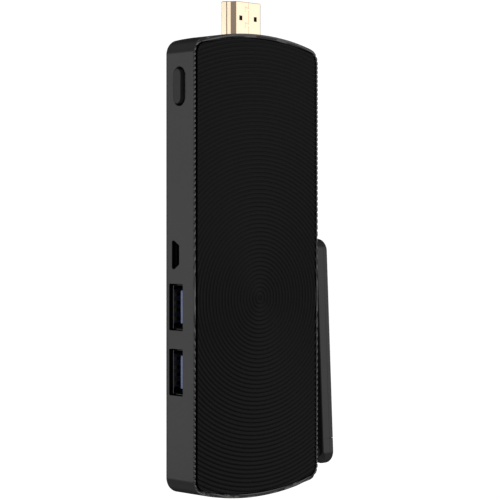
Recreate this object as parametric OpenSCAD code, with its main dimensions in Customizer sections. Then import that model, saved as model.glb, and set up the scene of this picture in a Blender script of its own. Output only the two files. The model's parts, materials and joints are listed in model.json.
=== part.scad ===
// Stick computer with a fixed plug on its top end, sockets and a power
// button on its left side and a swivelling paddle antenna on its right side.
// Millimetres. X to the right, Y from the front panel to the rear wall, Z up
// along the plug. Origin: plug axis, at the crown of the case's top end.

/* [Case] */
// Width of the case across its two long sides
case_w = 51; // [50:0.5:52]
// Length of the case between the crowns of its curved ends
case_l = 135; // [134:0.5:137]
// Depth of the case from front rim to rear face
case_t = 12.5; // [12.5:0.1:13]
// Radius of the two curved ends
end_r = 95; // [80:1:100]
// Radius of the four corners
corner_r = 4.5; // [4:0.1:6]
// Thickness of the side walls
wall = 2.2; // [2:0.1:2.4]
// Thickness of the rear wall
rear_wall = 1.6; // [1.4:0.1:1.7]
// Width of the rim around the front panel
rim_w = 1.2; // [1:0.1:1.3]

/* [Front panel] */
// Gap between rim and panel
panel_gap = 0.15; // [0.1:0.05:0.25]
// Thickness of the panel over its ridges
panel_t = 1.6; // [1.4:0.1:1.6]
// Spacing of the concentric ridges
ridge_pitch = 1.24; // [1.1:0.01:1.4]
// Depth of the grooves between the ridges
ridge_depth = 0.25; // [0.15:0.05:0.4]
// Ridge centre to the right of the case's centre line
ridge_x = 0.73; // [-2:0.01:2]
// Ridge centre below the top crown
ridge_z = -77.1; // [-80:0.1:-70]

/* [Plug] */
// Length of plug that stands out of the case
plug_len = 9.7; // [9:0.1:12]
// Width of the plug's wide side
plug_w = 13.9; // [13.8:0.05:14]
// Width of the plug's narrow front face
plug_narrow = 10.2; // [10:0.1:10.6]
// Thickness of the plug
plug_t = 4.4; // [4.3:0.05:4.45]
// Thickness of the plug's sheet metal
plug_sheet = 0.35; // [0.3:0.05:0.4]

/* [Side sockets] */
// Height of the upper USB socket's centre
usb_z1 = -79.1; // [-80:0.1:-78]
// Height of the lower USB socket's centre
usb_z2 = -97.7; // [-98.5:0.1:-97]
// USB socket's centre behind the middle of the case's depth
usb_y = 1.4; // [1.3:0.05:1.5]
// Height of the micro-USB socket's centre
micro_z = -64.2; // [-65:0.1:-63.5]

/* [Power button] */
// Height of the button's centre
button_z = -16.2; // [-18:0.1:-15]
// Length of the button's cap
button_l = 9.9; // [9.5:0.1:10.5]
// Width of the button's cap
button_w = 3.2; // [2.7:0.05:3.2]
// How far the cap stands out of the case
button_proud = 1; // [0.7:0.05:1.1]
// Gap between the cap and its hole
button_gap = 0.5; // [0.4:0.05:0.6]

/* [Antenna] */
// Height of the antenna's pivot
pivot_z = -125.1; // [-125.2:0.1:-124]
// Pivot in front of the middle of the case's depth
pivot_y = -0.4; // [-0.6:0.1:-0.4]
// Half width of the paddle and radius of its ends
paddle_r = 3.9; // [3.7:0.05:3.9]
// Distance from the pivot to the centre of the paddle's round tip
paddle_l = 61.25; // [56:0.05:62]
// Lean of the paddle towards the rear, in degrees
paddle_lean = 2.5; // [0:0.1:2.5]
// Gap between the case wall and the paddle's inner face
paddle_off = 4.45; // [4.3:0.05:5]
// Height of the fixed boss on the case wall
boss_h = 2.85; // [2.5:0.05:2.9]

/* [Hidden] */
$fn = 64;
hw = case_w / 2;
ht = case_t / 2;
cx = hw - corner_r;
cz = sqrt(pow(end_r - corner_r, 2) - cx * cx) - end_r;
tape_t = 0.2;
seat_y = -ht + panel_t + tape_t;
inner_rear = ht - rear_wall;
board_y0 = 2.2;
board_y1 = 3.2;
board_low = -115;
spread_y = 0;
spread_t = 1.5;
soc_t = 1.2;
screw_r = 0.68;
pilot_r = 0.7;
clear_r = 0.9;
spreader_points = [[-18, -24], [18, -24], [-18, -55], [18, -55]];
board_points = [[-18, -110.5], [19, -106]];
usb_h = 5.4;
usb_w = 13;
usb_wall = 0.3;
usb_x0 = -hw + 1.3;
usb_x1 = -11.2;
micro_x0 = -hw + 1.3;
micro_x1 = -19.8;
micro_front = 0.3;
micro_rear = 2.9;
button_y = 0.05;
flange_x = -hw + wall + 0.1;
flange_t = 0.85;
pin_r = 1.5;
pin_bore = 0.8;
pin_clear = 0.05;
paddle_x0 = hw + paddle_off;
paddle_x1 = paddle_x0 + 3;
paddle_x2 = paddle_x0 + 4.7;
paddle_seam = 3.9;
tube_x0 = hw - 3.9;
tube_x1 = paddle_x0 + 0.2;
lead_r = 0.4;
// Route of the coaxial lead from its plug to the pivot
lead_path = [[13, 1.25, -111.65], [13, 1.25, -114], [13.2, 1.1, -116.5], [14, 0.7, -119.3],
    [15.4, 0.2, -122.1], [17.4, -0.15, -124], [19.6, -0.35, -124.9], [21.6, pivot_y, pivot_z],
    [24, pivot_y, pivot_z], [27, pivot_y, pivot_z], [30, pivot_y, pivot_z]];

// ---- shared shapes -------------------------------------------------------

// Outline of the case seen from the front, moved in by d
module outline(d) {
    // stops 0.5 short of where end and corner touch, so that their edges cross cleanly
    xt = (end_r - d) * cx / (end_r - corner_r) - 0.5;
    intersection() {
        translate([0, -end_r]) circle(r = end_r - d, $fn = 200);
        translate([0, end_r - case_l]) circle(r = end_r - d, $fn = 200);
        translate([-xt, -case_l]) square([2 * xt, case_l]);
    }
    translate([-hw + d, cz - case_l - 2 * cz]) square([case_w - 2 * d, case_l + 2 * cz]);
    for (sx = [-1, 1]) {
        translate([sx * cx, cz]) circle(r = corner_r - d);
        translate([sx * cx, -case_l - cz]) circle(r = corner_r - d);
    }
}

// A drawing in X and Z given depth along Y
module deep(y0, y1) {
    translate([0, y1, 0]) rotate([90, 0, 0]) linear_extrude(height = y1 - y0) children();
}

// A drawing in Y and Z given depth along X
module across(x0, x1) {
    translate([x0, 0, 0]) rotate([90, 0, 90]) linear_extrude(height = x1 - x0) children();
}

// A drawing in X and Y given height along Z
module tall(z0, z1) {
    translate([0, 0, z0]) linear_extrude(height = z1 - z0) children();
}

// Round bar along X
module bar_x(x0, x1, r) {
    translate([x0, 0, 0]) rotate([0, 90, 0]) cylinder(h = x1 - x0, r = r);
}

// Round bar along Y at a point of the front view
module bar_y(p, y0, y1, r) {
    translate([p[0], y1, p[1]]) rotate([90, 0, 0]) cylinder(h = y1 - y0, r = r);
}

// Slot shape with round ends, l long along the second axis and w wide
module pill(l, w) {
    square([w, l - w], center = true);
    for (s = [-1, 1]) translate([0, s * (l - w) / 2]) circle(d = w);
}

// Box on the front view, centred at p, between two depths
module chip(p, w, h, y0, y1) {
    deep(y0, y1) translate([p[0] - w / 2, p[1] - h / 2]) square([w, h]);
}

// Section of the plug, moved in by d
module plug_section(d) {
    a = plug_w / 2 - d;
    b = plug_narrow / 2 - d;
    t = plug_t / 2 - d;
    polygon([[-a, t], [a, t], [a, -0.1 + d], [b + 0.8, -0.78 + d], [b - 0.08, -t], [-b + 0.08, -t], [-b - 0.8, -0.78 + d], [-a, -0.1 + d]]);
}

// Section of the micro-USB socket, moved in by d, wide side to the rear
module micro_section(d) {
    a = 3.85 - d;
    b = 2.6 - d / 2;
    polygon([[micro_rear - d, -a], [micro_rear - d, a], [2.1, a], [micro_front + d, b], [micro_front + d, -b], [2.1, -a]]);
}

// The antenna's own frame: Y and Z from the pivot, leaned back
module at_pivot() {
    translate([0, pivot_y, pivot_z]) rotate([-paddle_lean, 0, 0]) children();
}

// Paddle outline in Y and Z from the pivot, moved in by d
module paddle_outline(d) {
    translate([-paddle_r + d, 0]) square([2 * (paddle_r - d), paddle_l]);
    circle(r = paddle_r - d);
    translate([0, paddle_l]) circle(r = paddle_r - d);
}

function unit(v) = v / norm(v);
function way(p, i) = unit(p[min(i + 1, len(p) - 1)] - p[max(i - 1, 0)]);

// Round lead along a path that never runs along Y
module lead(p, r) {
    n = 8;
    pts = [for (i = [0 : len(p) - 1]) let (t = way(p, i), u = unit(cross(t, [0, 1, 0])), v = cross(t, u))
        for (k = [0 : n - 1]) p[i] + r * (cos(360 * k / n) * u + sin(360 * k / n) * v)];
    m = len(p);
    faces = concat(
        [[for (k = [0 : n - 1]) k]],
        [for (i = [0 : m - 2]) for (k = [0 : n - 1])
            [i * n + k, (i + 1) * n + k, (i + 1) * n + (k + 1) % n, i * n + (k + 1) % n]],
        [[for (k = [n - 1 : -1 : 0]) (m - 1) * n + k]]);
    polyhedron(points = pts, faces = faces, convexity = 4);
}

// ---- case and panel ------------------------------------------------------

module rear_case() {
    color("#333335") difference() {
        union() {
            difference() {
                deep(-ht, ht) outline(0);
                deep(-ht - 1, seat_y) outline(rim_w);
                deep(seat_y - 0.5, inner_rear) outline(wall);
            }
            for (p = concat(spreader_points, board_points)) bar_y(p, board_y1, inner_rear + 0.4, 2.2);
            translate([hw - 0.6, pivot_y, pivot_z]) rotate([0, 90, 0])
                cylinder(h = boss_h + 0.6, r1 = 3.6, r2 = 2.7);
        }
        for (p = concat(spreader_points, board_points)) bar_y(p, board_y1 - 1, inner_rear + 0.75, pilot_r);
        // plug opening in the top end
        translate([-plug_w / 2 - 0.3, -plug_t / 2 - 0.3, -wall - 2]) cube([plug_w + 0.6, plug_t + 0.6, wall + 4]);
        // socket openings in the left wall
        for (z = [usb_z1, usb_z2]) across(-hw - 1, -hw + wall + 1)
            translate([usb_y, z]) square([usb_h + 0.3, usb_w + 0.3], center = true);
        across(-hw - 1, -hw + wall + 1) translate([0, micro_z]) micro_section(-0.2);
        // button hole
        across(-hw - 1, -hw + wall + 1) translate([button_y, button_z])
            pill(button_l + 2 * button_gap, button_w + 2 * button_gap);
        // bearing of the antenna's pivot
        translate([0, pivot_y, pivot_z]) bar_x(hw - wall - 1, hw + boss_h + 1, pin_r + pin_clear);
        // air slots in the rear wall
        for (z = [-34, -47]) for (i = [-4 : 4]) deep(inner_rear - 0.4, ht + 1)
            translate([i * 3.2, z]) pill(9, 1.2);
    }
}

module front_panel() {
    color("#101010") difference() {
        deep(-ht, -ht + panel_t) outline(rim_w + panel_gap);
        translate([ridge_x, -ht, ridge_z]) rotate([90, 0, 0]) rotate_extrude($fn = 200)
            for (i = [0 : 62]) translate([(i + 0.5) * ridge_pitch - 0.3, -ridge_depth]) square([0.6, 1]);
    }
}

module panel_tape() {
    color("#1b1b1b") difference() {
        deep(-ht + panel_t, seat_y) outline(rim_w + 0.25);
        deep(-ht + panel_t - 1, seat_y + 1) outline(wall);
    }
}

// ---- board ---------------------------------------------------------------

module main_board() {
    color("#15402a") difference() {
        deep(board_y0, board_y1) intersection() {
            outline(wall + 0.6);
            translate([-hw, board_low]) square([case_w, -board_low]);
        }
        for (z = [usb_z1, usb_z2]) chip([-hw / 2 - 5.6, z], hw - 11, usb_w + 0.5, board_y0 - 1, board_y1 + 1);
        chip([-22.6, micro_z], 6, 8, board_y0 - 1, board_y1 + 1);
        // room for the power button's flange and its travel
        chip([-hw + 1.9, button_z], 3.8, button_l + 3.3, board_y0 - 1, board_y1 + 1);
        for (p = concat(spreader_points, board_points)) bar_y(p, board_y0 - 1, board_y1 + 1, clear_r);
    }
}

module soc() { color("#1d1d1f") chip([0, -40], 15, 15, board_y0 - soc_t, board_y0); }

module memory_chips() {
    color("#202022") for (x = [-13, 13]) chip([x, -40], 8, 12, board_y0 - 1, board_y0);
}

module storage_chip() { color("#202022") chip([4, -67], 11.5, 13, board_y0 - 1, board_y0); }

module hub_chip() { color("#202022") chip([-4, -84], 6, 6, board_y0 - 0.85, board_y0); }

module wifi_module() {
    color("silver") {
        chip([12, -94], 12, 14, board_y0 - 0.6, board_y0);
        chip([12, -94], 11.2, 13.2, board_y0 - 1.8, board_y0 - 0.6);
    }
}

module inductors() {
    color("#3a3a3a") for (p = [[-14.5, -64.5], [-8.5, -64.5], [15, -74]]) {
        chip(p, 4, 4, board_y0 - 0.6, board_y0);
        bar_y(p, board_y0 - 2, board_y0 - 0.6, 1.9);
    }
}

module capacitors() {
    color("#a08560") for (z = [-29, -51]) for (i = [-3 : 3]) chip([i * 4, z], 1, 0.6, board_y0 - 0.55, board_y0);
}

module crystal() { color("silver") chip([-4, -74.5], 3.2, 2.5, board_y0 - 0.8, board_y0); }

module heat_spreader() {
    color("#b9bcc0") difference() {
        union() {
            chip([0, -39.5], 42, 39, spread_y - spread_t, spread_y);
            for (i = [-3 : 3]) chip([i * 4, -39.5], 1.2, 35, spread_y - spread_t - 1.6, spread_y - spread_t + 0.2);
            for (p = spreader_points) bar_y(p, spread_y - 0.2, board_y0, 2);
        }
        for (p = spreader_points) bar_y(p, spread_y - spread_t - 1, board_y0 + 1, clear_r);
    }
}

module thermal_pad() { color("#8fa3b5") chip([0, -40], 14, 14, spread_y, board_y0 - soc_t); }

// Pan-head screw along Y with a cross slot
module screw(p, y_head, y_tip) {
    difference() {
        union() {
            bar_y(p, y_head - 0.8, y_head, 1.5);
            bar_y(p, y_head - 0.2, y_tip, screw_r);
        }
        for (a = [0, 90]) translate([p[0], y_head - 0.8, p[1]]) rotate([0, a, 0]) cube([1.6, 0.8, 0.3], center = true);
    }
}

module spreader_screws() {
    color("#9a9a9a") for (p = spreader_points) screw(p, spread_y - spread_t, inner_rear + 0.55);
}

module board_screws() {
    color("#9a9a9a") for (p = board_points) screw(p, board_y0, inner_rear + 0.55);
}

// ---- plug ----------------------------------------------------------------

module hdmi_shell() {
    color("#e6c27a") difference() {
        tall(-8, plug_len) plug_section(0);
        tall(-9, plug_len + 1) plug_section(plug_sheet);
        // latch holes in the front face and the rear face
        for (x = [-3.15, 2.8]) translate([x, -plug_t / 2, plug_len - 4.8]) cube([1.25, 2, 1.4], center = true);
        for (s = [-1, 1]) translate([s * 4.6, plug_t / 2, plug_len - 4.8]) cube([1.3, 2, 1.8], center = true);
    }
}

module hdmi_insert() {
    color("#151515") difference() {
        tall(-7.8, plug_len - 1.2) plug_section(plug_sheet + 0.05);
        translate([-4.4, -0.5, 1.5]) cube([8.8, 1.1, plug_len]);
    }
}

module hdmi_contacts() {
    color("#d4a94e") {
        for (i = [0 : 9]) translate([-4.05 + i * 0.9 - 0.15, -0.5, 1.6]) cube([0.3, 0.15, 6.4]);
        for (i = [0 : 8]) translate([-3.6 + i * 0.9 - 0.15, 0.45, 1.6]) cube([0.3, 0.15, 6.4]);
        for (i = [0 : 18]) translate([-4.5 + i * 0.5 - 0.13, board_y0 - 0.2, -10.2]) cube([0.26, 0.2, 2.1]);
    }
}

// ---- side sockets --------------------------------------------------------

module usb_shell(z) {
    color("#8d9096") difference() {
        across(usb_x0, usb_x1) translate([usb_y, z]) square([usb_h, usb_w], center = true);
        across(usb_x0 - 1, usb_x1 + 1) translate([usb_y, z]) square([usb_h - 2 * usb_wall, usb_w - 2 * usb_wall], center = true);
        // spring windows in the wide sides
        for (s = [-1, 1]) for (y = [-1, 1]) translate([usb_x0 + 5, usb_y + y * usb_h / 2, z + s * 3])
            cube([4, 1.2, 1.6], center = true);
    }
}

module usb_tongue(z) {
    color("#2a45a8") {
        across(usb_x1 - 2.5, usb_x1 - 0.2) translate([usb_y, z])
            square([usb_h - 2 * usb_wall - 0.1, usb_w - 2 * usb_wall - 0.1], center = true);
        translate([usb_x0 + 0.4, usb_y - 1.65, z - 4.75]) cube([usb_x1 - usb_x0 - 2.8, 1.84, 9.5]);
    }
}

module usb_contacts(z) {
    color("#d4a94e") for (d = [-3.5, -1, 1, 3.5])
        translate([usb_x0 + 0.8, usb_y + 0.19, z + d - 0.5]) cube([8, 0.2, 1]);
}

module usb_shell_upper() { usb_shell(usb_z1); }
module usb_tongue_upper() { usb_tongue(usb_z1); }
module usb_contacts_upper() { usb_contacts(usb_z1); }
module usb_shell_lower() { usb_shell(usb_z2); }
module usb_tongue_lower() { usb_tongue(usb_z2); }
module usb_contacts_lower() { usb_contacts(usb_z2); }

module micro_usb_shell() {
    color("#8d9096") difference() {
        across(micro_x0, micro_x1) translate([0, micro_z]) micro_section(0);
        across(micro_x0 - 1, micro_x1 + 1) translate([0, micro_z]) micro_section(0.25);
    }
}

module micro_usb_tongue() {
    color("#161616") {
        across(micro_x1 - 1, micro_x1 - 0.1) translate([0, micro_z]) micro_section(0.3);
        translate([micro_x0 + 0.7, 1.55, micro_z - 1.9]) cube([micro_x1 - micro_x0 - 1.5, 0.6, 3.8]);
    }
}

module micro_usb_contacts() {
    color("#d4a94e") for (i = [-2 : 2]) translate([micro_x0 + 0.9, 1.45, micro_z + i * 0.65 - 0.18])
        cube([2.4, 0.1, 0.36]);
}

// ---- power button --------------------------------------------------------

module power_button() {
    color("#2d2d2f") {
        across(-hw - button_proud, flange_x + 0.2) translate([button_y, button_z]) pill(button_l, button_w);
        across(flange_x, flange_x + flange_t) translate([button_y, button_z]) pill(button_l + 2, button_w + 1.8);
    }
}

module switch_body() {
    color("#6d6f72") difference() {
        translate([flange_x + 1.9, -1.6, button_z - 2.25]) cube([3.3, board_y0 + 1.6, 4.5]);
        translate([0, button_y, button_z]) bar_x(flange_x + 1, flange_x + 3.4, 0.95);
    }
}

module switch_plunger() {
    color("#d8d8d4") translate([0, button_y, button_z]) bar_x(flange_x + flange_t, flange_x + 2.8, 0.9);
}

// ---- antenna -------------------------------------------------------------

// Lower end of the paddle's outline, up to a seam across it
module below_seam(z) {
    translate([-20, -20]) square([40, 20 + z]);
}

module antenna_shell() {
    color("#333335") at_pivot() difference() {
        union() {
            across(paddle_x0, paddle_x1) paddle_outline(0);
            bar_x(hw + boss_h + 0.1, paddle_x0 + 0.3, 2.2);
        }
        across(paddle_x0 + 1.2, paddle_x1 + 1) paddle_outline(0.9);
        bar_x(tube_x0, tube_x1, pin_r);
        bar_x(tube_x1 - 0.1, paddle_x0 + 1.4, 1.2);
    }
}

module antenna_cover() {
    color("#333335") at_pivot() difference() {
        across(paddle_x1, paddle_x2) paddle_outline(0);
        across(paddle_x1 - 1, paddle_x2 + 1) below_seam(paddle_seam + 0.1);
    }
}

module pivot_cap() {
    color("#333335") at_pivot() {
        across(paddle_x1, paddle_x2) intersection() {
            paddle_outline(0);
            below_seam(paddle_seam);
        }
        bar_x(paddle_x1 - 0.5, paddle_x1 + 0.1, paddle_r - 1);
    }
}

module pivot_tube() {
    color("#b0a070") at_pivot() difference() {
        bar_x(tube_x0, tube_x1, pin_r);
        bar_x(tube_x0 - 1, tube_x1 + 1, pin_bore);
        difference() {
            bar_x(tube_x0 + 0.7, tube_x0 + 1.15, pin_r + 1);
            bar_x(tube_x0, tube_x0 + 2, 1.2);
        }
    }
}

module pivot_washer() {
    color("#aaaaaa") at_pivot() difference() {
        bar_x(tube_x0 + 1.2, hw - wall - 0.08, 3);
        bar_x(tube_x0, hw, pin_r + 0.05);
    }
}

module pivot_clip() {
    color("#777777") at_pivot() difference() {
        bar_x(tube_x0 + 0.72, tube_x0 + 1.13, 2.8);
        bar_x(tube_x0, tube_x0 + 2, 1.22);
        translate([tube_x0, -1.1, -4]) cube([2, 2.2, 4]);
    }
}

module antenna_element() {
    color("#2d6a3f") at_pivot() translate([paddle_x0 + 1.35, -2.3, 7]) cube([0.6, 4.6, 51]);
}

module antenna_socket() {
    color("#c9a24e") {
        chip([13, -109], 2.6, 2.6, board_y0 - 0.35, board_y0);
        bar_y([13, -109], board_y0 - 1.15, board_y0 - 0.3, 0.9);
    }
}

module antenna_plug() {
    color("#b9a46a") difference() {
        union() {
            bar_y([13, -109], board_y0 - 1.45, board_y0 - 0.45, 1.4);
            chip([13, -110.6], 1.1, 2, board_y0 - 1.4, board_y0 - 0.5);
        }
        bar_y([13, -109], board_y0 - 1.2, board_y0 + 1, 0.95);
    }
}

module antenna_lead() { color("#222222") lead(lead_path, lead_r); }

module antenna_tail() {
    b = 1.6;
    color("#222222") at_pivot() lead(concat(
        [[tube_x1 - 0.05, 0, 0]],
        [for (a = [15 : 15 : 90]) [tube_x1 + b * sin(a), 0, b * (1 - cos(a))]],
        [[tube_x1 + b, 0, 4], [tube_x1 + b, 0, 6.95]]), lead_r);
}

rear_case();
front_panel();
panel_tape();
main_board();
soc();
memory_chips();
storage_chip();
hub_chip();
wifi_module();
inductors();
capacitors();
crystal();
heat_spreader();
thermal_pad();
spreader_screws();
board_screws();
hdmi_shell();
hdmi_insert();
hdmi_contacts();
usb_shell_upper();
usb_tongue_upper();
usb_contacts_upper();
usb_shell_lower();
usb_tongue_lower();
usb_contacts_lower();
micro_usb_shell();
micro_usb_tongue();
micro_usb_contacts();
power_button();
switch_body();
switch_plunger();
antenna_shell();
antenna_cover();
pivot_cap();
pivot_tube();
pivot_washer();
pivot_clip();
antenna_element();
antenna_socket();
antenna_plug();
antenna_lead();
antenna_tail();
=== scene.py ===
"""Looks of the stick computer: case, ridged panel, plug, sockets, button and antenna as modelled meshes."""
import json
import math

import bmesh
import bpy
import numpy as np
from mathutils import Matrix, Vector


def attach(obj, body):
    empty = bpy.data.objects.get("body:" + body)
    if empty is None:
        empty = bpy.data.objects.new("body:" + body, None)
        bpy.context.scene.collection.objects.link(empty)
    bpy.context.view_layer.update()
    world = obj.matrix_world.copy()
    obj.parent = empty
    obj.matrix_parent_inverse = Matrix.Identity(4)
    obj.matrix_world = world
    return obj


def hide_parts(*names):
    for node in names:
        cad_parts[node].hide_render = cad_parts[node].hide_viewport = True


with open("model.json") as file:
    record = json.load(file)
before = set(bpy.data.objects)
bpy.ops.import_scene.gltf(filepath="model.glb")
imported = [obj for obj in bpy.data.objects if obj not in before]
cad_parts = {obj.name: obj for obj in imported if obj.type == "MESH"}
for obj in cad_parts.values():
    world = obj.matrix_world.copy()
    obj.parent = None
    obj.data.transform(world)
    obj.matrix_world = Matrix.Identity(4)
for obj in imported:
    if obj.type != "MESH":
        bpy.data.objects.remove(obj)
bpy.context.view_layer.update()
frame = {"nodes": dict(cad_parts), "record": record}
scene = bpy.context.scene
MM = 0.001

# ---------------------------------------------------------------- sizes, mm
HW, HT, LEN = 25.5, 6.25, 135.0
END_R, COR_R = 95.0, 4.5
CX = HW - COR_R
CZ = math.sqrt((END_R - COR_R) ** 2 - CX * CX) - END_R
ALPHA = math.atan2(CZ + END_R, CX)
WALL, REAR, RIM, GAP = 2.2, 1.6, 1.2, 0.15
SEAT = -HT + 1.8
PITCH, RX, RZ = 1.24, 0.73, -77.1
WAVE, NOTCH = 0.145, 0.32
PLUG = 9.7
USB_Z, USB_Y = (-79.1, -97.7), 1.4
USB_X0, USB_X1 = -24.2, -11.2
MIC_Z = -64.2
BTN_Z, BTN_Y = -16.2, 0.05
PIV_Y, PIV_Z = -0.4, -125.1
PAD_R, PAD_L, LEAN = 3.9, 61.25, 2.5
PAD_X0, PAD_X1, PAD_X2 = 29.95, 32.95, 34.65
SEAM = 3.9


# ------------------------------------------------------------- mesh helpers
def obj_from(name, verts, faces, mat):
    me = bpy.data.meshes.new(name)
    me.from_pydata([tuple(float(c) * MM for c in v) for v in verts], [], [tuple(int(i) for i in f) for f in faces])
    me.update()
    o = bpy.data.objects.new(name, me)
    scene.collection.objects.link(o)
    if mat is not None:
        me.materials.append(mat)
    return o


def tidy(o, merge=0.0):
    bm = bmesh.new()
    bm.from_mesh(o.data)
    if merge > 0:
        bmesh.ops.remove_doubles(bm, verts=bm.verts[:], dist=merge * MM)
    bmesh.ops.recalc_face_normals(bm, faces=bm.faces[:])
    bm.to_mesh(o.data)
    bm.free()
    return o


def shade(o, deg=32.0, weighted=True):
    bm = bmesh.new()
    bm.from_mesh(o.data)
    lim = math.radians(deg)
    for f in bm.faces:
        f.smooth = True
    for e in bm.edges:
        e.smooth = len(e.link_faces) == 2 and e.calc_face_angle(0.0) < lim
    bm.to_mesh(o.data)
    bm.free()
    if weighted:
        m = o.modifiers.new("even_normals", "WEIGHTED_NORMAL")
        m.keep_sharp = True
        m.weight = 50
    return o


def rings(rows, cap_first=True, cap_last=True, loop=False):
    """Vertices and faces of a skin over closed rows of equal length."""
    n = len(rows[0])
    verts = [v for r in rows for v in r]
    faces = []
    m = len(rows)
    for i in range(m if loop else m - 1):
        a, b = i * n, ((i + 1) % m) * n
        for k in range(n):
            k2 = (k + 1) % n
            faces.append((a + k, a + k2, b + k2, b + k))
    if not loop:
        if cap_first:
            faces.append(tuple(range(n - 1, -1, -1)))
        if cap_last:
            faces.append(tuple((m - 1) * n + k for k in range(n)))
    return verts, faces


def join(parts):
    verts, faces = [], []
    for v, f in parts:
        b = len(verts)
        verts += list(v)
        faces += [tuple(i + b for i in x) for x in f]
    return verts, faces


def cut(o, parts):
    """Takes the given closed solids out of o."""
    c = tidy(obj_from("cutter", *join(parts), None))
    m = o.modifiers.new("cut", "BOOLEAN")
    m.operation, m.solver, m.object = "DIFFERENCE", "EXACT", c
    dg = bpy.context.evaluated_depsgraph_get()
    me = bpy.data.meshes.new_from_object(o.evaluated_get(dg))
    o.modifiers.clear()
    old, o.data = o.data, me
    bpy.data.meshes.remove(old)
    cm = c.data
    bpy.data.objects.remove(c)
    bpy.data.meshes.remove(cm)
    return o


def round_poly(pts, radii, seg=6):
    """Polygon with its corners rounded, both kinds of corner, going round in the order given."""
    out = []
    n = len(pts)
    for i in range(n):
        p, a, b = np.array(pts[i], float), np.array(pts[i - 1], float), np.array(pts[(i + 1) % n], float)
        u, v = a - p, b - p
        lu, lv = np.linalg.norm(u), np.linalg.norm(v)
        u, v = u / lu, v / lv
        ang = math.acos(max(-1.0, min(1.0, float(u @ v))))
        r = radii[i]
        t = min(r / math.tan(ang / 2), 0.49 * lu, 0.49 * lv)
        r = t * math.tan(ang / 2)
        c = p + (u + v) / np.linalg.norm(u + v) * (r / math.sin(ang / 2))
        s, e = p + u * t - c, p + v * t - c
        a0, a1 = math.atan2(s[1], s[0]), math.atan2(e[1], e[0])
        d = (a1 - a0 + math.pi) % (2 * math.pi) - math.pi
        for k in range(seg + 1):
            q = a0 + d * k / seg
            out.append((c[0] + r * math.cos(q), c[1] + r * math.sin(q)))
    return out


def rect(w, h, r, grow=0.0, seg=6):
    a, b = w / 2 + grow, h / 2 + grow
    return round_poly([(-a, -b), (a, -b), (a, b), (-a, b)], [r + grow] * 4, seg)


def pill(length, width, inset=0.0, n=16):
    """Slot outline in two axes, long along the second."""
    r = width / 2 - inset
    h = (length - width) / 2
    out = []
    for k in range(n + 1):
        a = math.pi * k / n
        out.append((r * math.cos(a), h + r * math.sin(a)))
    for k in range(n + 1):
        a = math.pi + math.pi * k / n
        out.append((r * math.cos(a), -h + r * math.sin(a)))
    return out


def lathe_x(profile, y, z, n=48):
    """Closed ring of revolution about X through y, z. profile is a closed loop of (x, r)."""
    verts, faces = [], []
    m = len(profile)
    for k in range(n):
        a = 2 * math.pi * k / n
        verts += [(x, y + r * math.cos(a), z + r * math.sin(a)) for x, r in profile]
    for k in range(n):
        a, b = k * m, ((k + 1) % n) * m
        for i in range(m):
            j = (i + 1) % m
            faces.append((a + i, a + j, b + j, b + i))
    return verts, faces


def lathe_y(profile, x, z, n=32):
    v, f = lathe_x(profile, 0, 0, n)
    return [(x + q[1], q[0], z + q[2]) for q in v], f


def soft_box(x, y, z, r, seg=3):
    """Box between the given pairs with all its edges rounded."""
    bm = bmesh.new()
    bmesh.ops.create_cube(bm, size=1.0)
    for v in bm.verts:
        v.co = Vector((x[0] if v.co.x < 0 else x[1], y[0] if v.co.y < 0 else y[1], z[0] if v.co.z < 0 else z[1]))
    bmesh.ops.bevel(bm, geom=bm.edges[:], offset=r, segments=seg, profile=0.5, affect="EDGES")
    bm.verts.ensure_lookup_table()
    bm.verts.index_update()
    v = [tuple(q.co) for q in bm.verts]
    f = [tuple(q.index for q in p.verts) for p in bm.faces]
    bm.free()
    return v, f


# ------------------------------------------------------------------ outline
def perimeter(side_n, cor_n, end_n):
    """Points (x, z) of the case's outline and their outward normals, anticlockwise from the right side's foot."""
    pts, nor = [], []

    def add(p, a):
        pts.append(p)
        nor.append((math.cos(a), math.sin(a)))

    zb = -LEN - CZ
    for k in range(side_n):
        add((HW, zb + (CZ - zb) * k / side_n), 0.0)
    for k in range(cor_n):
        a = ALPHA * k / cor_n
        add((CX + COR_R * math.cos(a), CZ + COR_R * math.sin(a)), a)
    for k in range(end_n):
        a = ALPHA + (math.pi - 2 * ALPHA) * k / end_n
        add((END_R * math.cos(a), -END_R + END_R * math.sin(a)), a)
    for k in range(cor_n):
        a = math.pi - ALPHA + ALPHA * k / cor_n
        add((-CX + COR_R * math.cos(a), CZ + COR_R * math.sin(a)), a)
    for k in range(side_n):
        add((-HW, CZ + (zb - CZ) * k / side_n), math.pi)
    for k in range(cor_n):
        a = math.pi + ALPHA * k / cor_n
        add((-CX + COR_R * math.cos(a), zb + COR_R * math.sin(a)), a)
    for k in range(end_n):
        a = math.pi + ALPHA + (math.pi - 2 * ALPHA) * k / end_n
        add((END_R * math.cos(a), -LEN + END_R + END_R * math.sin(a)), a)
    for k in range(cor_n):
        a = 2 * math.pi - ALPHA + ALPHA * k / cor_n
        add((CX + COR_R * math.cos(a), zb + COR_R * math.sin(a)), a)
    return np.array(pts), np.array(nor)


def wave(x, z):
    """0 on the crown of a ridge and 1 in the groove beside it: flat-topped ridges with creases between them."""
    t = np.hypot(x - RX, z - RZ) / PITCH
    u = np.abs(t - np.round(t))
    return np.clip((u - 0.16) / 0.34, 0.0, 1.0) ** 1.2


def notch(x, z):
    """As wave, with wider flats and steeper flanks, where the ridges run out over the rim."""
    t = np.hypot(x - RX, z - RZ) / PITCH
    return np.clip((np.abs(t - np.round(t)) - 0.24) / 0.26, 0.0, 1.0)


# ---------------------------------------------------------------- materials
def material(name):
    m = bpy.data.materials.new(name)
    m.use_nodes = True
    nt = m.node_tree
    b = nt.nodes["Principled BSDF"]
    tc = nt.nodes.new("ShaderNodeTexCoord")
    return m, nt, b, tc.outputs["Object"]


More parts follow.
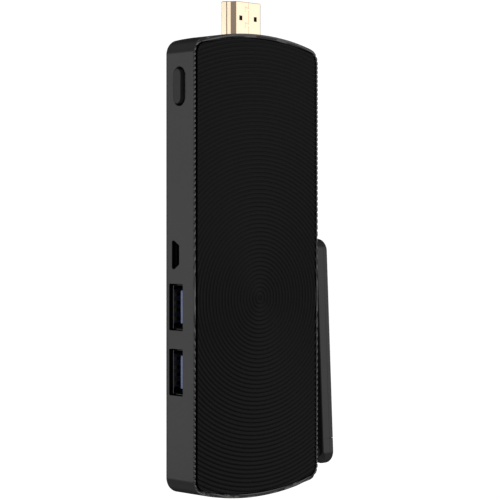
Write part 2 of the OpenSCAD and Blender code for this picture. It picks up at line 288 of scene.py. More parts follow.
def noise(nt, vec, scale, detail=2.0, rough=0.5, stretch=None):
    if stretch is not None:
        mp = nt.nodes.new("ShaderNodeMapping")
        mp.inputs["Scale"].default_value = stretch
        nt.links.new(vec, mp.inputs["Vector"])
        vec = mp.outputs["Vector"]
    t = nt.nodes.new("ShaderNodeTexNoise")
    t.inputs["Scale"].default_value = scale
    t.inputs["Detail"].default_value = detail
    t.inputs["Roughness"].default_value = rough
    nt.links.new(vec, t.inputs["Vector"])
    return t.outputs["Fac"]


def ramp(nt, fac, lo, hi, a=0.3, b=0.7):
    r = nt.nodes.new("ShaderNodeMapRange")
    r.inputs["From Min"].default_value = a
    r.inputs["From Max"].default_value = b
    r.inputs["To Min"].default_value = lo
    r.inputs["To Max"].default_value = hi
    nt.links.new(fac, r.inputs["Value"])
    return r.outputs["Result"]


def tint(nt, fac, c0, c1, a=0.3, b=0.7):
    r = nt.nodes.new("ShaderNodeValToRGB")
    r.color_ramp.elements[0].position, r.color_ramp.elements[1].position = a, b
    r.color_ramp.elements[0].color = (*c0, 1.0)
    r.color_ramp.elements[1].color = (*c1, 1.0)
    nt.links.new(fac, r.inputs["Fac"])
    return r.outputs["Color"]


def bump(nt, b, height, strength, dist):
    n = nt.nodes.new("ShaderNodeBump")
    n.inputs["Strength"].default_value = strength
    n.inputs["Distance"].default_value = dist
    nt.links.new(height, n.inputs["Height"])
    nt.links.new(n.outputs["Normal"], b.inputs["Normal"])


def plastic(name, c0, c1, rough, spec, grain=5200.0, strength=0.25, dist=2e-5):
    m, nt, b, co = material(name)
    broad = noise(nt, co, 55.0, 3.0)
    fine = noise(nt, co, grain, 2.0, 0.6)
    nt.links.new(tint(nt, broad, c0, c1), b.inputs["Base Color"])
    nt.links.new(ramp(nt, fine, rough[0], rough[1]), b.inputs["Roughness"])
    b.inputs["Specular IOR Level"].default_value = spec
    bump(nt, b, fine, strength, dist)
    return m


def metal(name, c0, c1, rough, stretch=(1.0, 1.0, 1.0), scale=900.0, strength=0.06, dist=1e-5):
    m, nt, b, co = material(name)
    broad = noise(nt, co, 120.0, 3.0)
    fine = noise(nt, co, scale, 3.0, 0.6, stretch)
    nt.links.new(tint(nt, broad, c0, c1), b.inputs["Base Color"])
    nt.links.new(ramp(nt, fine, rough[0], rough[1]), b.inputs["Roughness"])
    b.inputs["Metallic"].default_value = 1.0
    bump(nt, b, fine, strength, dist)
    return m


def board_mat(name, c0, c1):
    m, nt, b, co = material(name)
    w = nt.nodes.new("ShaderNodeTexBrick")
    w.inputs["Scale"].default_value = 260.0
    w.inputs["Mortar Size"].default_value = 0.03
    w.inputs["Color1"].default_value = (*c0, 1.0)
    w.inputs["Color2"].default_value = (*c0, 1.0)
    w.inputs["Mortar"].default_value = (*c1, 1.0)
    mp = nt.nodes.new("ShaderNodeMapping")
    mp.inputs["Rotation"].default_value = (math.radians(90), 0.0, 0.0)
    nt.links.new(co, mp.inputs["Vector"])
    nt.links.new(mp.outputs["Vector"], w.inputs["Vector"])
    nt.links.new(w.outputs["Color"], b.inputs["Base Color"])
    nt.links.new(ramp(nt, noise(nt, co, 700.0, 3.0), 0.28, 0.42), b.inputs["Roughness"])
    bump(nt, b, w.outputs["Fac"], 0.1, 1e-5)
    return m


M_CASE = plastic("case_plastic", (0.033, 0.033, 0.034), (0.038, 0.038, 0.039), (0.18, 0.26), 0.35)
# The two rim materials below are copies of the case plastic that reflect more strongly: painted sheen on the rim's
# land, stronger along its sides than on its ends.
M_RIM_SHEEN = plastic("rim_painted_sheen", (0.033, 0.033, 0.034), (0.038, 0.038, 0.039), (0.18, 0.25), 0.85)
M_RIM_END_SHEEN = plastic("rim_end_painted_sheen", (0.033, 0.033, 0.034), (0.038, 0.038, 0.039), (0.18, 0.25), 0.66)
M_PANEL = plastic("panel_plastic", (0.0034, 0.0034, 0.0035), (0.0042, 0.0042, 0.0043), (0.30, 0.40), 0.085, 6500.0, 0.12)
M_BUTTON = plastic("button_plastic", (0.040, 0.040, 0.041), (0.044, 0.044, 0.045), (0.30, 0.40), 0.28)
M_ANT = plastic("antenna_plastic", (0.033, 0.033, 0.034), (0.038, 0.038, 0.039), (0.18, 0.26), 0.26)
M_GOLD = metal("gold_plate", (0.97, 0.75, 0.54), (0.99, 0.78, 0.58), (0.13, 0.20), (1.0, 1.0, 0.08), 2600.0, 0.05)
M_CONTACT = metal("contact_gold", (0.92, 0.66, 0.28), (0.98, 0.74, 0.36), (0.18, 0.3))
# Matte gold for the contacts' tips: painted light where light reaches into the socket; the deeper parts keep the gold
# metal.
M_TIP_PAINTED_LIGHT = plastic("contact_tip_painted_light", (0.80, 0.62, 0.28), (0.86, 0.68, 0.32), (0.3, 0.4), 0.6, 3000.0, 0.1)
M_SOCKET = metal("socket_steel", (0.26, 0.26, 0.265), (0.32, 0.32, 0.325), (0.08, 0.14), (0.1, 1.0, 1.0), 2400.0)
M_BLUE = plastic("tongue_blue", (0.32, 0.39, 0.69), (0.35, 0.42, 0.75), (0.3, 0.4), 0.5, 3000.0, 0.1)
# Darkened copy of the socket steel for the micro USB shell: painted shade inside the opening.
M_MICRO_SHADED = metal("micro_steel_painted_shade", (0.035, 0.035, 0.037), (0.05, 0.05, 0.052), (0.3, 0.4), (0.1, 1.0, 1.0), 2400.0)
# Near-black liner for the socket mouths: painted shade on the opening walls.
M_SHADE_LINER = plastic("socket_painted_shade", (0.0022, 0.0022, 0.0023), (0.0030, 0.0030, 0.0031), (0.5, 0.6), 0.05)
M_BLACK = plastic("black_plastic", (0.007, 0.007, 0.0075), (0.010, 0.010, 0.0105), (0.42, 0.55), 0.3)
M_BOARD = board_mat("circuit_board", (0.008, 0.055, 0.026), (0.02, 0.09, 0.045))
M_CHIP = plastic("chip_epoxy", (0.011, 0.011, 0.012), (0.015, 0.015, 0.016), (0.5, 0.65), 0.35, 4200.0, 0.3)
M_ALU = metal("aluminium", (0.62, 0.63, 0.65), (0.70, 0.71, 0.73), (0.28, 0.42), (1.0, 1.0, 0.06), 1800.0)
M_TIN = metal("tin_plate", (0.55, 0.55, 0.54), (0.63, 0.63, 0.62), (0.22, 0.38), (1.0, 1.0, 0.2), 1500.0)
M_CERAMIC = plastic("ceramic", (0.27, 0.18, 0.10), (0.34, 0.23, 0.13), (0.4, 0.55), 0.4, 6000.0)
M_FERRITE = plastic("ferrite", (0.025, 0.025, 0.027), (0.04, 0.04, 0.042), (0.5, 0.7), 0.4, 5000.0, 0.4)
M_PAD = plastic("silicone_pad", (0.22, 0.29, 0.37), (0.27, 0.34, 0.42), (0.6, 0.75), 0.3, 2500.0, 0.3)
M_TAPE = plastic("tape", (0.008, 0.008, 0.008), (0.012, 0.012, 0.012), (0.5, 0.65), 0.3)
M_BRASS = metal("pivot_brass", (0.60, 0.46, 0.22), (0.68, 0.53, 0.28), (0.2, 0.34), (0.1, 1.0, 1.0), 2200.0)
M_STEEL = metal("spring_steel", (0.42, 0.42, 0.43), (0.5, 0.5, 0.51), (0.24, 0.38))
M_COAX = plastic("coax_jacket", (0.010, 0.010, 0.010), (0.014, 0.014, 0.014), (0.4, 0.52), 0.4)
SLOTS = {
    "case_plastic": M_CASE, "panel_plastic": M_PANEL, "button_plastic": M_BUTTON, "antenna_plastic": M_ANT,
    "gold_plate": M_GOLD, "contact_gold": M_CONTACT, "socket_steel": M_SOCKET, "tongue_blue": M_BLUE,
    "black_plastic": M_BLACK, "circuit_board": M_BOARD, "chip_epoxy": M_CHIP, "aluminium": M_ALU,
    "tin_plate": M_TIN, "ceramic": M_CERAMIC, "ferrite": M_FERRITE, "silicone_pad": M_PAD, "tape": M_TAPE,
    "pivot_brass": M_BRASS, "spring_steel": M_STEEL, "coax_jacket": M_COAX,
}
for part in frame["record"]["subparts"]:
    node = frame["nodes"][part["node"]]
    node.data.materials.clear()
    node.data.materials.append(SLOTS[part["material_slot"]])


def place(o, body, slot, *nodes):
    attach(o, body)
    if nodes:
        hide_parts(*nodes)
    return o


# --------------------------------------------------------------- case: body
P, N = perimeter(2, 18, 44)


def row(d, y, pts=None, nor=None):
    pts = P if pts is None else pts
    nor = N if nor is None else nor
    q = pts - np.asarray(d).reshape(-1, 1) * nor if np.ndim(d) else pts - d * nor
    yy = np.broadcast_to(np.asarray(y, float), (len(pts),))
    return [(q[k, 0], yy[k], q[k, 1]) for k in range(len(pts))]


SPLIT, FOOT = -5.1, -5.65
EDGE = 1.2
rows = []
for k in range(9):
    a = math.radians(90 * k / 8)
    rows.append(row(EDGE * (1 - math.sin(a)), HT - EDGE * (1 - math.cos(a))))
rows += [row(0.0, FOOT), row(RIM, SPLIT), row(RIM, SEAT), row(WALL, SEAT), row(WALL, HT - REAR - 0.3), row(WALL + 0.3, HT - REAR)]
case = tidy(obj_from("case_body", *rings(rows), M_CASE))


def mouth(section, x_out, x_in, flare):
    """Cutter along X for an opening in the left wall, with its mouth eased. section(grow) gives points in Y and Z."""
    rs = []
    for x, g in ((x_out - 0.5, flare * 1.6), (x_out, flare), (x_out + flare * 0.45, flare * 0.32), (x_out + flare, 0.0), (x_in, 0.0)):
        rs.append([(x, p[0], p[1]) for p in section(g)])
    return rings(rs)


def shifted(pts, dy, dz):
    return [(p[0] + dy, p[1] + dz) for p in pts]


def micro_poly(d, seg=5):
    a, b = 3.85 - d, 2.6 - d / 2
    f, r = 0.3 + d, 2.9 - d
    pts = [(r, -a), (r, a), (2.1, a), (f, b), (f, -b), (2.1, -a)]
    return round_poly(pts, [max(0.12, 0.45 - d)] * 2 + [0.35] * 4, seg)


cuts = []
for z in USB_Z:
    cuts.append(mouth(lambda g, z=z: shifted(rect(5.7, 13.3, 0.35, g), USB_Y, z), -HW, -HW + WALL + 0.6, 0.06))
cuts.append(mouth(lambda g: shifted(micro_poly(-0.2 - g), 0, MIC_Z), -HW, -HW + WALL + 0.6, 0.08))
cuts.append(mouth(lambda g: shifted(pill(10.85 + 2 * g, 4.25 + 2 * g, 0.0, 20), BTN_Y, BTN_Z), -HW, -HW + WALL + 0.6, 0.28))
cuts.append(rings([[(p[0], p[1], z) for p in rect(14.5, 5.0, 0.4)] for z in (-WALL - 1.5, 1.0)]))
cuts.append(rings([[(x, PIV_Y + 1.55 * math.cos(2 * math.pi * k / 48), PIV_Z + 1.55 * math.sin(2 * math.pi * k / 48)) for k in range(48)] for x in (HW - WALL - 0.5, HW + 0.5)]))
for z in (-34, -47):
    for i in range(-4, 5):
        rs = []
        for y, g in ((HT - REAR - 0.4, 0.0), (HT - 0.2, 0.0), (HT - 0.07, 0.06), (HT, 0.2), (HT + 0.4, 0.5)):
            rs.append([(i * 3.2 + p[0], y, z + p[1]) for p in pill(9 + 2 * g, 1.2 + 2 * g, 0.0, 8)])
        cuts.append(rings(rs))
cut(case, cuts)
shade(case, 30)
place(case, "case", "case_plastic", "rear_case")

# screw posts on the floor of the case
posts = []
for x, z in ((-18, -24), (18, -24), (-18, -55), (18, -55), (-18, -110.5), (19, -106)):
    posts.append(lathe_y([(3.2, 0.7), (3.2, 2.1), (3.3, 2.2), (4.3, 2.2), (4.66, 2.5), (4.66, 0.7)], x, z))
posts = shade(tidy(obj_from("case_posts", *join(posts), M_CASE)), 30)
place(posts, "case", "case_plastic")

# ---------------------------------------------------------------- case: rim
PR, NR = perimeter(1100, 40, 160)


def rim_rows():
    """Sections of the rim from its foot inside, over the notched land, to its foot outside.

    Each entry holds inset and depth along the sides, then along the ends, where the land is wider.
    """
    prof = [(1.2, 0.55, 1.2, 0.22), (1.16, 0.48, 1.17, 0.15), (0.85, 0.29, 1.12, 0.07), (0.62, 0.06, 1.08, 0.02), (0.55, 0.0, 1.03, 0.0),
            (0.42, 0.0, 0.73, 0.0), (0.28, 0.0, 0.43, 0.0), (0.1, 0.0, 0.14, 0.0), (0.05, 0.013, 0.07, 0.019), (0.013, 0.05, 0.019, 0.07),
            (0.0, 0.1, 0.0, 0.14)]
    end = NR[:, 1] ** 4
    out = [row(RIM, SPLIT, PR, NR)]
    for d0, y0, d1, y1 in prof:
        d, y = d0 + (d1 - d0) * end, y0 + (y1 - y0) * end
        q = PR - d[:, None] * NR
        out.append(row(d, -HT + y + NOTCH * notch(q[:, 0], q[:, 1]), PR, NR))
    out.append(row(0.0, FOOT, PR, NR))
    return out


rim = tidy(obj_from("case_rim", *rings(rim_rows(), loop=True), M_RIM_SHEEN))
# The rim's inner slope takes the panel's near-black plastic: painted shade in the gap between rim and panel.
rim.data.materials.append(M_PANEL)
rim.data.materials.append(M_RIM_END_SHEEN)
rim.data.materials.append(M_CASE)
# The land's faces take the painted sheen copies, split between sides and ends by which way they face.
for f in rim.data.polygons:
    line, k = divmod(f.index, len(PR))
    f.material_index = 1 if line < 4 else 3 if line > 9 else 2 if abs(NR[k, 1]) > 0.8 else 0
shade(rim, 44)
place(rim, "case", "case_plastic")

# --------------------------------------------------------------- case: boss
prof = [(HW - 0.4, 1.56), (HW - 0.4, 3.86), (HW + 0.01, 3.86)]
prof += [(HW + 0.4 - 0.4 * math.sin(math.radians(a)), 3.45 + 0.4 - 0.4 * math.cos(math.radians(a))) for a in (75, 60, 45, 30, 15, 0)]
prof += [(HW + 2.4, 2.78)]
prof += [(HW + 2.5 + 0.35 * math.sin(math.radians(a)), 2.4 + 0.35 * math.cos(math.radians(a))) for a in (15, 30, 45, 60, 75, 90)]
prof += [(HW + 2.85, 1.56)]
boss = shade(tidy(obj_from("antenna_boss", *lathe_x(prof, PIV_Y, PIV_Z, 64), M_CASE)), 35)
place(boss, "case", "case_plastic")


# -------------------------------------------------------------- front panel
def panel_skin(inset, spp=8, nseg=32):
    d = inset

    def inside(x, z):
        ok = (np.abs(x) <= HW - d) & (np.hypot(x, z + END_R) <= END_R - d) & (np.hypot(x, z + LEN - END_R) <= END_R - d)
        ta = math.tan(ALPHA)
        for qz in (z - CZ, -LEN - CZ - z):
            qx = np.abs(x) - CX
            zone = (qx > 0) & (qz > 0) & (qz < ta * qx)
            ok &= ~zone | (np.hypot(qx, qz) <= COR_R - d)
        return ok

    bounds = [0.0, math.atan2(RZ + END_R, RX), math.pi, 2 * math.pi + math.atan2(RZ + LEN - END_R, RX), 2 * math.pi]
    verts, faces = [(RX, -HT, RZ)], []
    step = PITCH / spp
    for s in range(4):
        A, B = bounds[s], bounds[s + 1]
        th = np.linspace(A, B, 481)
        prev = None
        k = 1
        while True:
            r = step * k

            def at(t, r=r):
                return bool(inside(np.array(RX + r * math.cos(t)), np.array(RZ + r * math.sin(t))))

            m = inside(RX + r * np.cos(th), RZ + r * np.sin(th))
            idx = np.nonzero(m)[0]
            if len(idx) == 0:
                break
            i0, i1 = idx[0], idx[-1]
            t0, t1 = th[i0], th[i1]
            if i0 > 0:
                a, b = th[i0 - 1], th[i0]
                for _ in range(24):
                    c = (a + b) / 2
                    a, b = (a, c) if at(c) else (c, b)
                t0 = b
            if i1 < len(th) - 1:
                a, b = th[i1], th[i1 + 1]
                for _ in range(24):
                    c = (a + b) / 2
                    a, b = (c, b) if at(c) else (a, c)
                t1 = a
            tt = np.linspace(t0, t1, nseg + 1)
            base = len(verts)
            y = -HT + WAVE * float(wave(np.array(RX + r), np.array(RZ)))
            verts += [(RX + r * math.cos(t), y, RZ + r * math.sin(t)) for t in tt]
            for j in range(nseg):
                if prev is None:
                    faces.append((0, base + j, base + j + 1))
                else:
                    faces.append((prev + j, base + j, base + j + 1, prev + j + 1))
            prev = base
            k += 1
    return verts, faces


panel = tidy(obj_from("ridged_panel", *panel_skin(RIM + GAP), M_PANEL), 0.004)
bm = bmesh.new()
bm.from_mesh(panel.data)
edge = [e for e in bm.edges if len(e.link_faces) == 1]
ext = bmesh.ops.extrude_edge_only(bm, edges=edge)
new = [v for v in ext["geom"] if isinstance(v, bmesh.types.BMVert)]
for v in new:
    v.co.y = (-HT + 1.6) * MM
low = [e for e in ext["geom"] if isinstance(e, bmesh.types.BMEdge) and len(e.link_faces) == 1]
bmesh.ops.edgeloop_fill(bm, edges=low)
bmesh.ops.recalc_face_normals(bm, faces=bm.faces[:])
bm.to_mesh(panel.data)
bm.free()
shade(panel, 44, False)
place(panel, "case", "panel_plastic", "front_panel")


# --------------------------------------------------------------------- plug
def plug_poly(d, seg=6):
    a, b, t = 6.95 - d, 5.1 - d, 2.2 - d
    pts = [(-a, t), (-a, -0.1 + d), (-b - 0.8, -0.78 + d), (-b + 0.08, -t), (b - 0.08, -t), (b + 0.8, -0.78 + d), (a, -0.1 + d), (a, t)]
    cv = [max(0.06, r - d) for r in (0.28, 0.42, 0.0, 0.22, 0.50, 0.0, 0.42, 0.28)]
    cv[2] = cv[5] = 0.12 + d
    return round_poly(pts, cv, seg)


rows = [(0.0, -8.0), (0.0, PLUG - 0.22), (0.03, PLUG - 0.10), (0.09, PLUG - 0.02), (0.16, PLUG), (0.24, PLUG - 0.01), (0.32, PLUG - 0.10), (0.35, PLUG - 0.25), (0.35, -8.0)]
shell = tidy(obj_from("plug_shell", *rings([[(p[0], p[1], z) for p in plug_poly(d)] for d, z in rows], loop=True), M_GOLD))
holes = []


def box_y(x, z, w, h, y0, y1, r=0.12):
    return rings([[(x + p[0], y, z + p[1]) for p in rect(w, h, r)] for y in (y0, y1)])


for x in (-3.15, 2.8):
    holes.append(box_y(x, PLUG - 4.8, 1.25, 1.4, -3.0, -1.5))
for s in (-1, 1):
    holes.append(box_y(s * 4.6, PLUG - 4.8, 1.3, 1.8, 1.5, 3.0))


def strip(path, w, y0, y1):
    """Thin closed ribbon along a path in X and Z, between two depths."""
    left, right = [], []
    n = len(path)
    for i in range(n):
        p = np.array(path[i], float)
        a = np.array(path[max(i - 1, 0)], float)
        b = np.array(path[min(i + 1, n - 1)], float)
        u = (p - a) / (np.linalg.norm(p - a) or 1.0)
        v = (b - p) / (np.linalg.norm(b - p) or 1.0)
        if i == 0:
            u = v
        if i == n - 1:
            v = u
        nu, nv = np.array((-u[1], u[0])), np.array((-v[1], v[0]))
        m = (nu + nv) / (1.0 + float(nu @ nv))
        left.append(p + m * w / 2)
        right.append(p - m * w / 2)
    loop = left + right[::-1]
    return rings([[(q[0], y, q[1]) for q in loop] for y in (y0, y1)])


seam = [(0, PLUG + 1), (0, 7.9), (-1.35, 8.25), (-1.35, 6.7), (0, 7.05), (0, 3.3), (-1.35, 3.65), (-1.35, 2.1), (0, 2.45), (0, -1.0)]
holes.append(strip(seam, 0.11, -2.6, -2.07))
cut(shell, holes)
shade(shell, 32)
place(shell, "case", "gold_plate", "hdmi_shell")

# ------------------------------------------------------------------ sockets
for tag, z in (("upper", USB_Z[0]), ("lower", USB_Z[1])):
    prof = [(0.0, USB_X1), (0.0, USB_X0 + 0.15), (-0.04, USB_X0 + 0.05), (-0.12, USB_X0), (-0.22, USB_X0 + 0.04), (-0.3, USB_X0 + 0.2), (-0.3, USB_X1)]
    tube = tidy(obj_from(f"usb_{tag}_shell", *rings([[(x, USB_Y + p[0], z + p[1]) for p in rect(5.4, 13.0, 0.6, d)] for d, x in prof], loop=True), M_SOCKET))
    win = []
    for s in (-1, 1):
        for y in (-1, 1):
            yy = (USB_Y + y * 2.7 - 0.6, USB_Y + y * 2.7 + 0.6)
            win.append(rings([[(USB_X0 + 5 + p[0], q, z + s * 3 + p[1]) for p in rect(4, 1.6, 0.2)] for q in yy]))
    cut(tube, win)
    # spring leaves in the windows, bent into the socket
    leaves = []
    for s in (-1, 1):
        for y in (-1, 1):
            rs = []
            for k in range(9):
                t = k / 8
                x = USB_X0 + 6.9 - 3.6 * t
                inn = 0.75 * math.sin(math.pi * min(1.0, t * 1.1) * 0.85)
                yc = USB_Y + y * (2.55 - inn)
                w = 0.6 - 0.12 * t
                rs.append([(x, yc - 0.1, z + s * 3 - w), (x, yc - 0.1, z + s * 3 + w), (x, yc + 0.1, z + s * 3 + w), (x, yc + 0.1, z + s * 3 - w)])
            leaves.append(rings(rs))
    lv = shade(tidy(obj_from(f"usb_{tag}_springs", *join(leaves), M_SOCKET)), 40)
    place(lv, "case", "socket_steel")
    shade(tube, 32)
    place(tube, "case", "socket_steel", f"usb_shell_{tag}")
    tongue = join([
        soft_box((USB_X0 + 0.65, USB_X1 - 2.4), (USB_Y - 1.65, USB_Y + 0.19), (z - 4.75, z + 4.75), 0.2),
        soft_box((USB_X1 - 2.5, USB_X1 - 0.2), (USB_Y - 2.35, USB_Y + 2.35), (z - 6.15, z + 6.15), 0.15),
    ])
    tg = shade(tidy(obj_from(f"usb_{tag}_tongue", *tongue, M_BLUE)), 40)
    place(tg, "case", "tongue_blue", f"usb_tongue_{tag}")
    # Black liner over the walls of the USB opening: painted shade inside the mouth.
    shade_liner = [(d, x) for d, x in ((0.02, -HW + 0.06), (0.10, -HW + 0.10), (0.13, -HW + 0.2), (0.13, USB_X0 + 0.02), (0.02, USB_X0 + 0.02))]
    shade_liner = tidy(obj_from(f"usb_{tag}_painted_shade_lining", *rings([[(x, USB_Y + p[0], z + p[1]) for p in rect(5.7, 13.3, 0.35, -d)] for d, x in shade_liner], loop=True), M_SHADE_LINER))
    place(shade(shade_liner, 32), "case", "black_plastic")
    cs = []
    for dz in (-3.5, -1, 1, 3.5):
        rs = []
        y0 = USB_Y + 0.195
        for dx, h in ((0.0, 0.03), (0.07, 0.11), (0.14, 0.165), (0.22, 0.195), (0.5, 0.2), (0.9, 0.2), (1.1, 0.15), (1.4, 0.11), (2.2, 0.1), (5.0, 0.1), (8.0, 0.1)):
            x, y1 = USB_X0 + 0.85 + dx, y0 + h
            rs.append([(x, y0, z + dz - 0.5), (x, y0, z + dz + 0.5), (x, y1, z + dz + 0.45), (x, y1, z + dz - 0.45)])
        cs.append(rings(rs))
    ct = shade(tidy(obj_from(f"usb_{tag}_contacts", *join(cs), M_CONTACT)), 40)
    # Tips nearest the mouth get the matte gold: painted light on the contacts.
    ct.data.materials.append(M_TIP_PAINTED_LIGHT)
    for f in ct.data.polygons:
        f.material_index = 1 if f.center.x < (USB_X0 + 3.0) * MM else 0
    place(ct, "case", "contact_gold", f"usb_contacts_{tag}")

MX0, MX1 = -24.2, -19.8
prof = [(0.0, MX1), (0.0, MX0 + 0.12), (0.03, MX0 + 0.04), (0.1, MX0), (0.18, MX0 + 0.04), (0.25, MX0 + 0.2), (0.25, MX1)]
# The micro USB shell takes the darkened steel: painted shade.
mic = tidy(obj_from("micro_shell", *rings([[(x, p[0], MIC_Z + p[1]) for p in micro_poly(d)] for d, x in prof], loop=True), M_MICRO_SHADED))
shade(mic, 32)
place(mic, "case", "socket_steel", "micro_usb_shell")
# Black liner over the walls of the micro USB opening: painted shade inside the mouth.
shade_liner = [(d, x) for d, x in ((-0.18, -HW + 0.08), (-0.10, -HW + 0.12), (-0.05, -HW + 0.2), (-0.05, MX0 - 0.02), (-0.18, MX0 - 0.02))]
shade_liner = tidy(obj_from("micro_surround", *rings([[(x, p[0], MIC_Z + p[1]) for p in micro_poly(d)] for d, x in shade_liner], loop=True), M_SHADE_LINER))
place(shade(shade_liner, 32), "case", "black_plastic")
v1 = soft_box((MX0 + 0.7, MX1 - 0.8), (1.55, 2.15), (MIC_Z - 1.9, MIC_Z + 1.9), 0.12)
v2 = rings([[(x, p[0], MIC_Z + p[1]) for p in micro_poly(0.3)] for x in (MX1 - 1.0, MX1 - 0.1)])
mt = shade(tidy(obj_from("micro_tongue", *join([v1, v2]), M_BLACK)), 40)
place(mt, "case", "black_plastic", "micro_usb_tongue")

# ------------------------------------------------------------- power button
rows = []
for x, l, w, i in ((-22.35, 11.7, 4.8, 0), (-22.45, 11.9, 5.0, 0), (-23.1, 11.9, 5.0, 0), (-23.2, 11.7, 4.8, 0), (-23.2, 9.95, 3.2, 0),
                   (-26.36, 9.95, 3.2, 0), (-26.41, 9.95, 3.2, 0.012), (-26.45, 9.95, 3.2, 0.04), (-26.48, 9.95, 3.2, 0.085), (-26.49, 9.95, 3.2, 0.15),
                   (-26.497, 9.95, 3.2, 0.6), (-26.5, 9.95, 3.2, 1.0)):
    rows.append([(x, BTN_Y + p[0], BTN_Z + p[1]) for p in pill(l, w, i, 20)])
btn = shade(tidy(obj_from("button_cap", *rings(rows), M_BUTTON)), 40)
place(btn, "button", "button_plastic", "power_button")


# ------------------------------------------------------------------ antenna
def leaned(o):
    """From the antenna's own frame, Y and Z from the pivot, to its place."""
    m = Matrix.Translation((0, PIV_Y * MM, PIV_Z * MM)) @ Matrix.Rotation(math.radians(-LEAN), 4, "X")
    o.data.transform(m)
    return o


def paddle(d, n=20, m=24):
    """Outline of the paddle in Y and Z from the pivot, moved in by d."""
    r = PAD_R - d
    out = [(r * math.cos(a), PAD_L + r * math.sin(a)) for a in np.linspace(0, math.pi, n + 1)]
    out += [(-r, PAD_L * (1 - k / m)) for k in range(1, m)]
    out += [(r * math.cos(a), r * math.sin(a)) for a in np.linspace(math.pi, 2 * math.pi, n + 1)]
    out += [(r, PAD_L * k / m) for k in range(1, m)]
    return out


def slab(z0, z1, x0, x1, half):
    """Closed box across the paddle, in the antenna's own frame."""
    return rings([[(x0, -half, z), (x1, -half, z), (x1, half, z), (x0, half, z)] for z in (z0, z1)])


R1, R2 = 0.25, 0.3
ring0 = np.array(paddle(0.0))
out0 = ring0 - np.stack([np.zeros(len(ring0)), np.clip(ring0[:, 1], 0.0, PAD_L)], -1)
out0 /= np.linalg.norm(out0, axis=1)[:, None]
# the inner edge is rounded a little, and more around the pivot's end
round_end = np.where(ring0[:, 1] < 0, np.clip(-out0[:, 1], 0.0, 1.0), 0.0)
ease_x, ease_r = R1 + 2.6 * round_end, R1 + 2.0 * round_end
rows = []
for k in range(9):
    a = math.radians(90 * k / 8)
    q = ring0 - out0 * (ease_r * (1 - math.sin(a) ** 1.8))[:, None]
    rows.append([(PAD_X0 + ease_x[i] * (1 - max(math.cos(a), 0.0) ** 1.8), q[i, 0], q[i, 1]) for i in range(len(q))])
tail = [(0.0, PAD_X1 - 0.04), (0.03, PAD_X1 - 0.01), (0.06, PAD_X1), (0.9, PAD_X1), (0.9, PAD_X0 + 1.5), (1.1, PAD_X0 + 1.2)]
rows += [[(x, p[0], p[1]) for p in paddle(d)] for d, x in tail]
body = tidy(obj_from("antenna_body", *rings(rows), M_ANT))
# shallow groove where the pivot end begins, on the inner face and both edges
z0, z1, g = SEAM - 0.02, SEAM + 0.12, 0.1
frame_rows = []
for z, h in ((z0, 1), (z1, 1), (z1, 0), (z0, 0)):
    xa, xb, hy = (PAD_X0 - 1, PAD_X1 + 0.5, PAD_R + 1) if h else (PAD_X0 + g, PAD_X1 + 0.4, PAD_R - g)
    frame_rows.append([(xa, -hy, z), (xb, -hy, z), (xb, hy, z), (xa, hy, z)])
cut(body, [rings(frame_rows, loop=True)])
neck = lathe_x([(28.45, 1.5), (28.45, 2.0), (28.52, 2.13), (28.65, 2.2), (29.4, 2.2), (29.6, 2.22), (29.78, 2.28), (29.9, 2.38), (29.97, 2.5), (31.0, 2.5), (31.0, 1.5)], 0, 0, 48)
leaned(body)
shade(body, 35)
place(body, "antenna", "antenna_plastic", "antenna_shell")
nk = leaned(tidy(obj_from("antenna_neck", *neck, M_ANT)))
shade(nk, 35)
place(nk, "antenna", "antenna_plastic")

rows = [(0.06, PAD_X1), (0.03, PAD_X1 + 0.01), (0.0, PAD_X1 + 0.04)]
for k in range(7):
    a = math.radians(90 * k / 6)
    rows.append((R2 * (1 - math.cos(a)), PAD_X2 - R2 + R2 * math.sin(a)))
for name, node, lo, hi in (("antenna_lid", "antenna_cover", -9.0, SEAM + 0.12), ("antenna_cap", "pivot_cap", SEAM - 0.02, PAD_L + 9.0)):
    o = tidy(obj_from(name, *rings([[(x, p[0], p[1]) for p in paddle(d)] for d, x in rows]), M_ANT))
    cut(o, [slab(lo, hi, PAD_X1 - 1.0, PAD_X2 + 1.0, PAD_R + 1.0)])
    leaned(o)
    shade(o, 32)
    place(o, "antenna", "antenna_plastic", node)

# -------------------------------------------------------------------- stage
# low enough for the antenna to swing down over it: the object is held by its plug
bpy.ops.mesh.primitive_plane_add(size=6.0, location=(0, 0, (PIV_Z - PAD_L - PAD_R - 2.0) * MM))
floor = bpy.context.object
floor.name = "floor"
fm, nt, b, co = material("floor_pale")
nt.links.new(tint(nt, noise(nt, co, 3.0), (0.90, 0.90, 0.90), (0.92, 0.92, 0.92)), b.inputs["Base Color"])
b.inputs["Roughness"].default_value = 0.9
b.inputs["Specular IOR Level"].default_value = 0.0
b.inputs["Emission Color"].default_value = (1.0, 1.0, 1.0, 1.0)
b.inputs["Emission Strength"].default_value = 0.85
floor.data.materials.append(fm)
floor.visible_diffuse = floor.visible_glossy = floor.visible_shadow = False

# dim room, darker behind the object, with a plain white backdrop, and softboxes
world = bpy.data.worlds.new("studio")
scene.world = world
world.use_nodes = True
wt = world.node_tree
room = wt.nodes["Background"]
room.inputs["Color"].default_value = (1.0, 1.0, 1.0, 1.0)
tc = wt.nodes.new("ShaderNodeTexCoord")
dot = wt.nodes.new("ShaderNodeVectorMath")
dot.operation = "DOT_PRODUCT"
dot.inputs[1].default_value = (0.7071, 0.7071, 0.0)
dim = wt.nodes.new("ShaderNodeMapRange")
dim.interpolation_type = "SMOOTHSTEP"
for key, val in (("From Min", 0.25), ("From Max", 0.72), ("To Min", 0.26), ("To Max", 0.03)):
    dim.inputs[key].default_value = val
wt.links.new(tc.outputs["Generated"], dot.inputs[0])
wt.links.new(dot.outputs["Value"], dim.inputs["Value"])
wt.links.new(dim.outputs["Result"], room.inputs["Strength"])
drop = wt.nodes.new("ShaderNodeBackground")
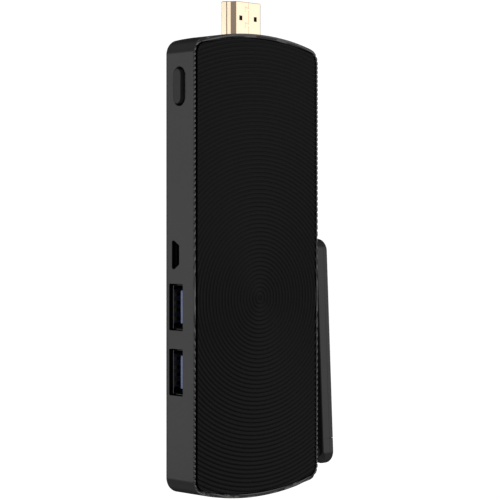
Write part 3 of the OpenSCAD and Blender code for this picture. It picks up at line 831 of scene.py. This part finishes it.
drop.inputs["Color"].default_value = (1.0, 1.0, 1.0, 1.0)
drop.inputs["Strength"].default_value = 1.05
seen = wt.nodes.new("ShaderNodeLightPath")
mix = wt.nodes.new("ShaderNodeMixShader")
wt.links.new(seen.outputs["Is Camera Ray"], mix.inputs[0])
wt.links.new(room.outputs[0], mix.inputs[1])
wt.links.new(drop.outputs[0], mix.inputs[2])
wt.links.new(mix.outputs[0], wt.nodes["World Output"].inputs["Surface"])


def softbox(name, azimuth, width, height, radiance, level=-0.062, rise=0.0, dist=0.85):
    """Area light of the given brightness facing the object, which doesn't show itself. Azimuth is from +X towards +Y."""
    li = bpy.data.lights.new(name, "AREA")
    li.shape, li.size, li.size_y = "RECTANGLE", width, height
    li.energy = radiance * math.pi * width * height
    o = bpy.data.objects.new(name, li)
    mid = Vector((0.0, 0.0, level))
    az, el = math.radians(azimuth), math.radians(rise)
    o.location = mid + dist * Vector((math.cos(az) * math.cos(el), math.sin(az) * math.cos(el), math.sin(el)))
    o.rotation_euler = (mid - o.location).to_track_quat("-Z", "Y").to_euler()
    o.visible_camera = False
    scene.collection.objects.link(o)
    return o


softbox("front_right", -53, 0.62, 0.71, 1.06, 0.045)
softbox("rear_left", 140, 0.42, 0.435, 1.1, -0.0725)
softbox("front", -111, 0.24, 0.25, 1.0, 0.125)
softbox("rear_right", 72, 0.42, 0.40, 0.9)

# ------------------------------------------------------------------- camera
cam_data = bpy.data.cameras.new("camera")
cam_data.lens = 126.8
cam_data.sensor_width = 36.0
cam_data.clip_end = 50.0
cam_data.shift_x, cam_data.shift_y = -0.02, -0.0554
cam = bpy.data.objects.new("camera", cam_data)
dist = 0.515
at = Vector((RX * MM, -HT * MM, (RZ + 22.2) * MM))
cam.location = at - dist * Vector((math.sin(math.pi / 4), math.cos(math.pi / 4), 0))
cam.rotation_euler = (math.radians(90), 0, math.radians(-45))
scene.collection.objects.link(cam)
scene.camera = cam
scene.view_settings.view_transform = "Standard"
scene.view_settings.look = "None"
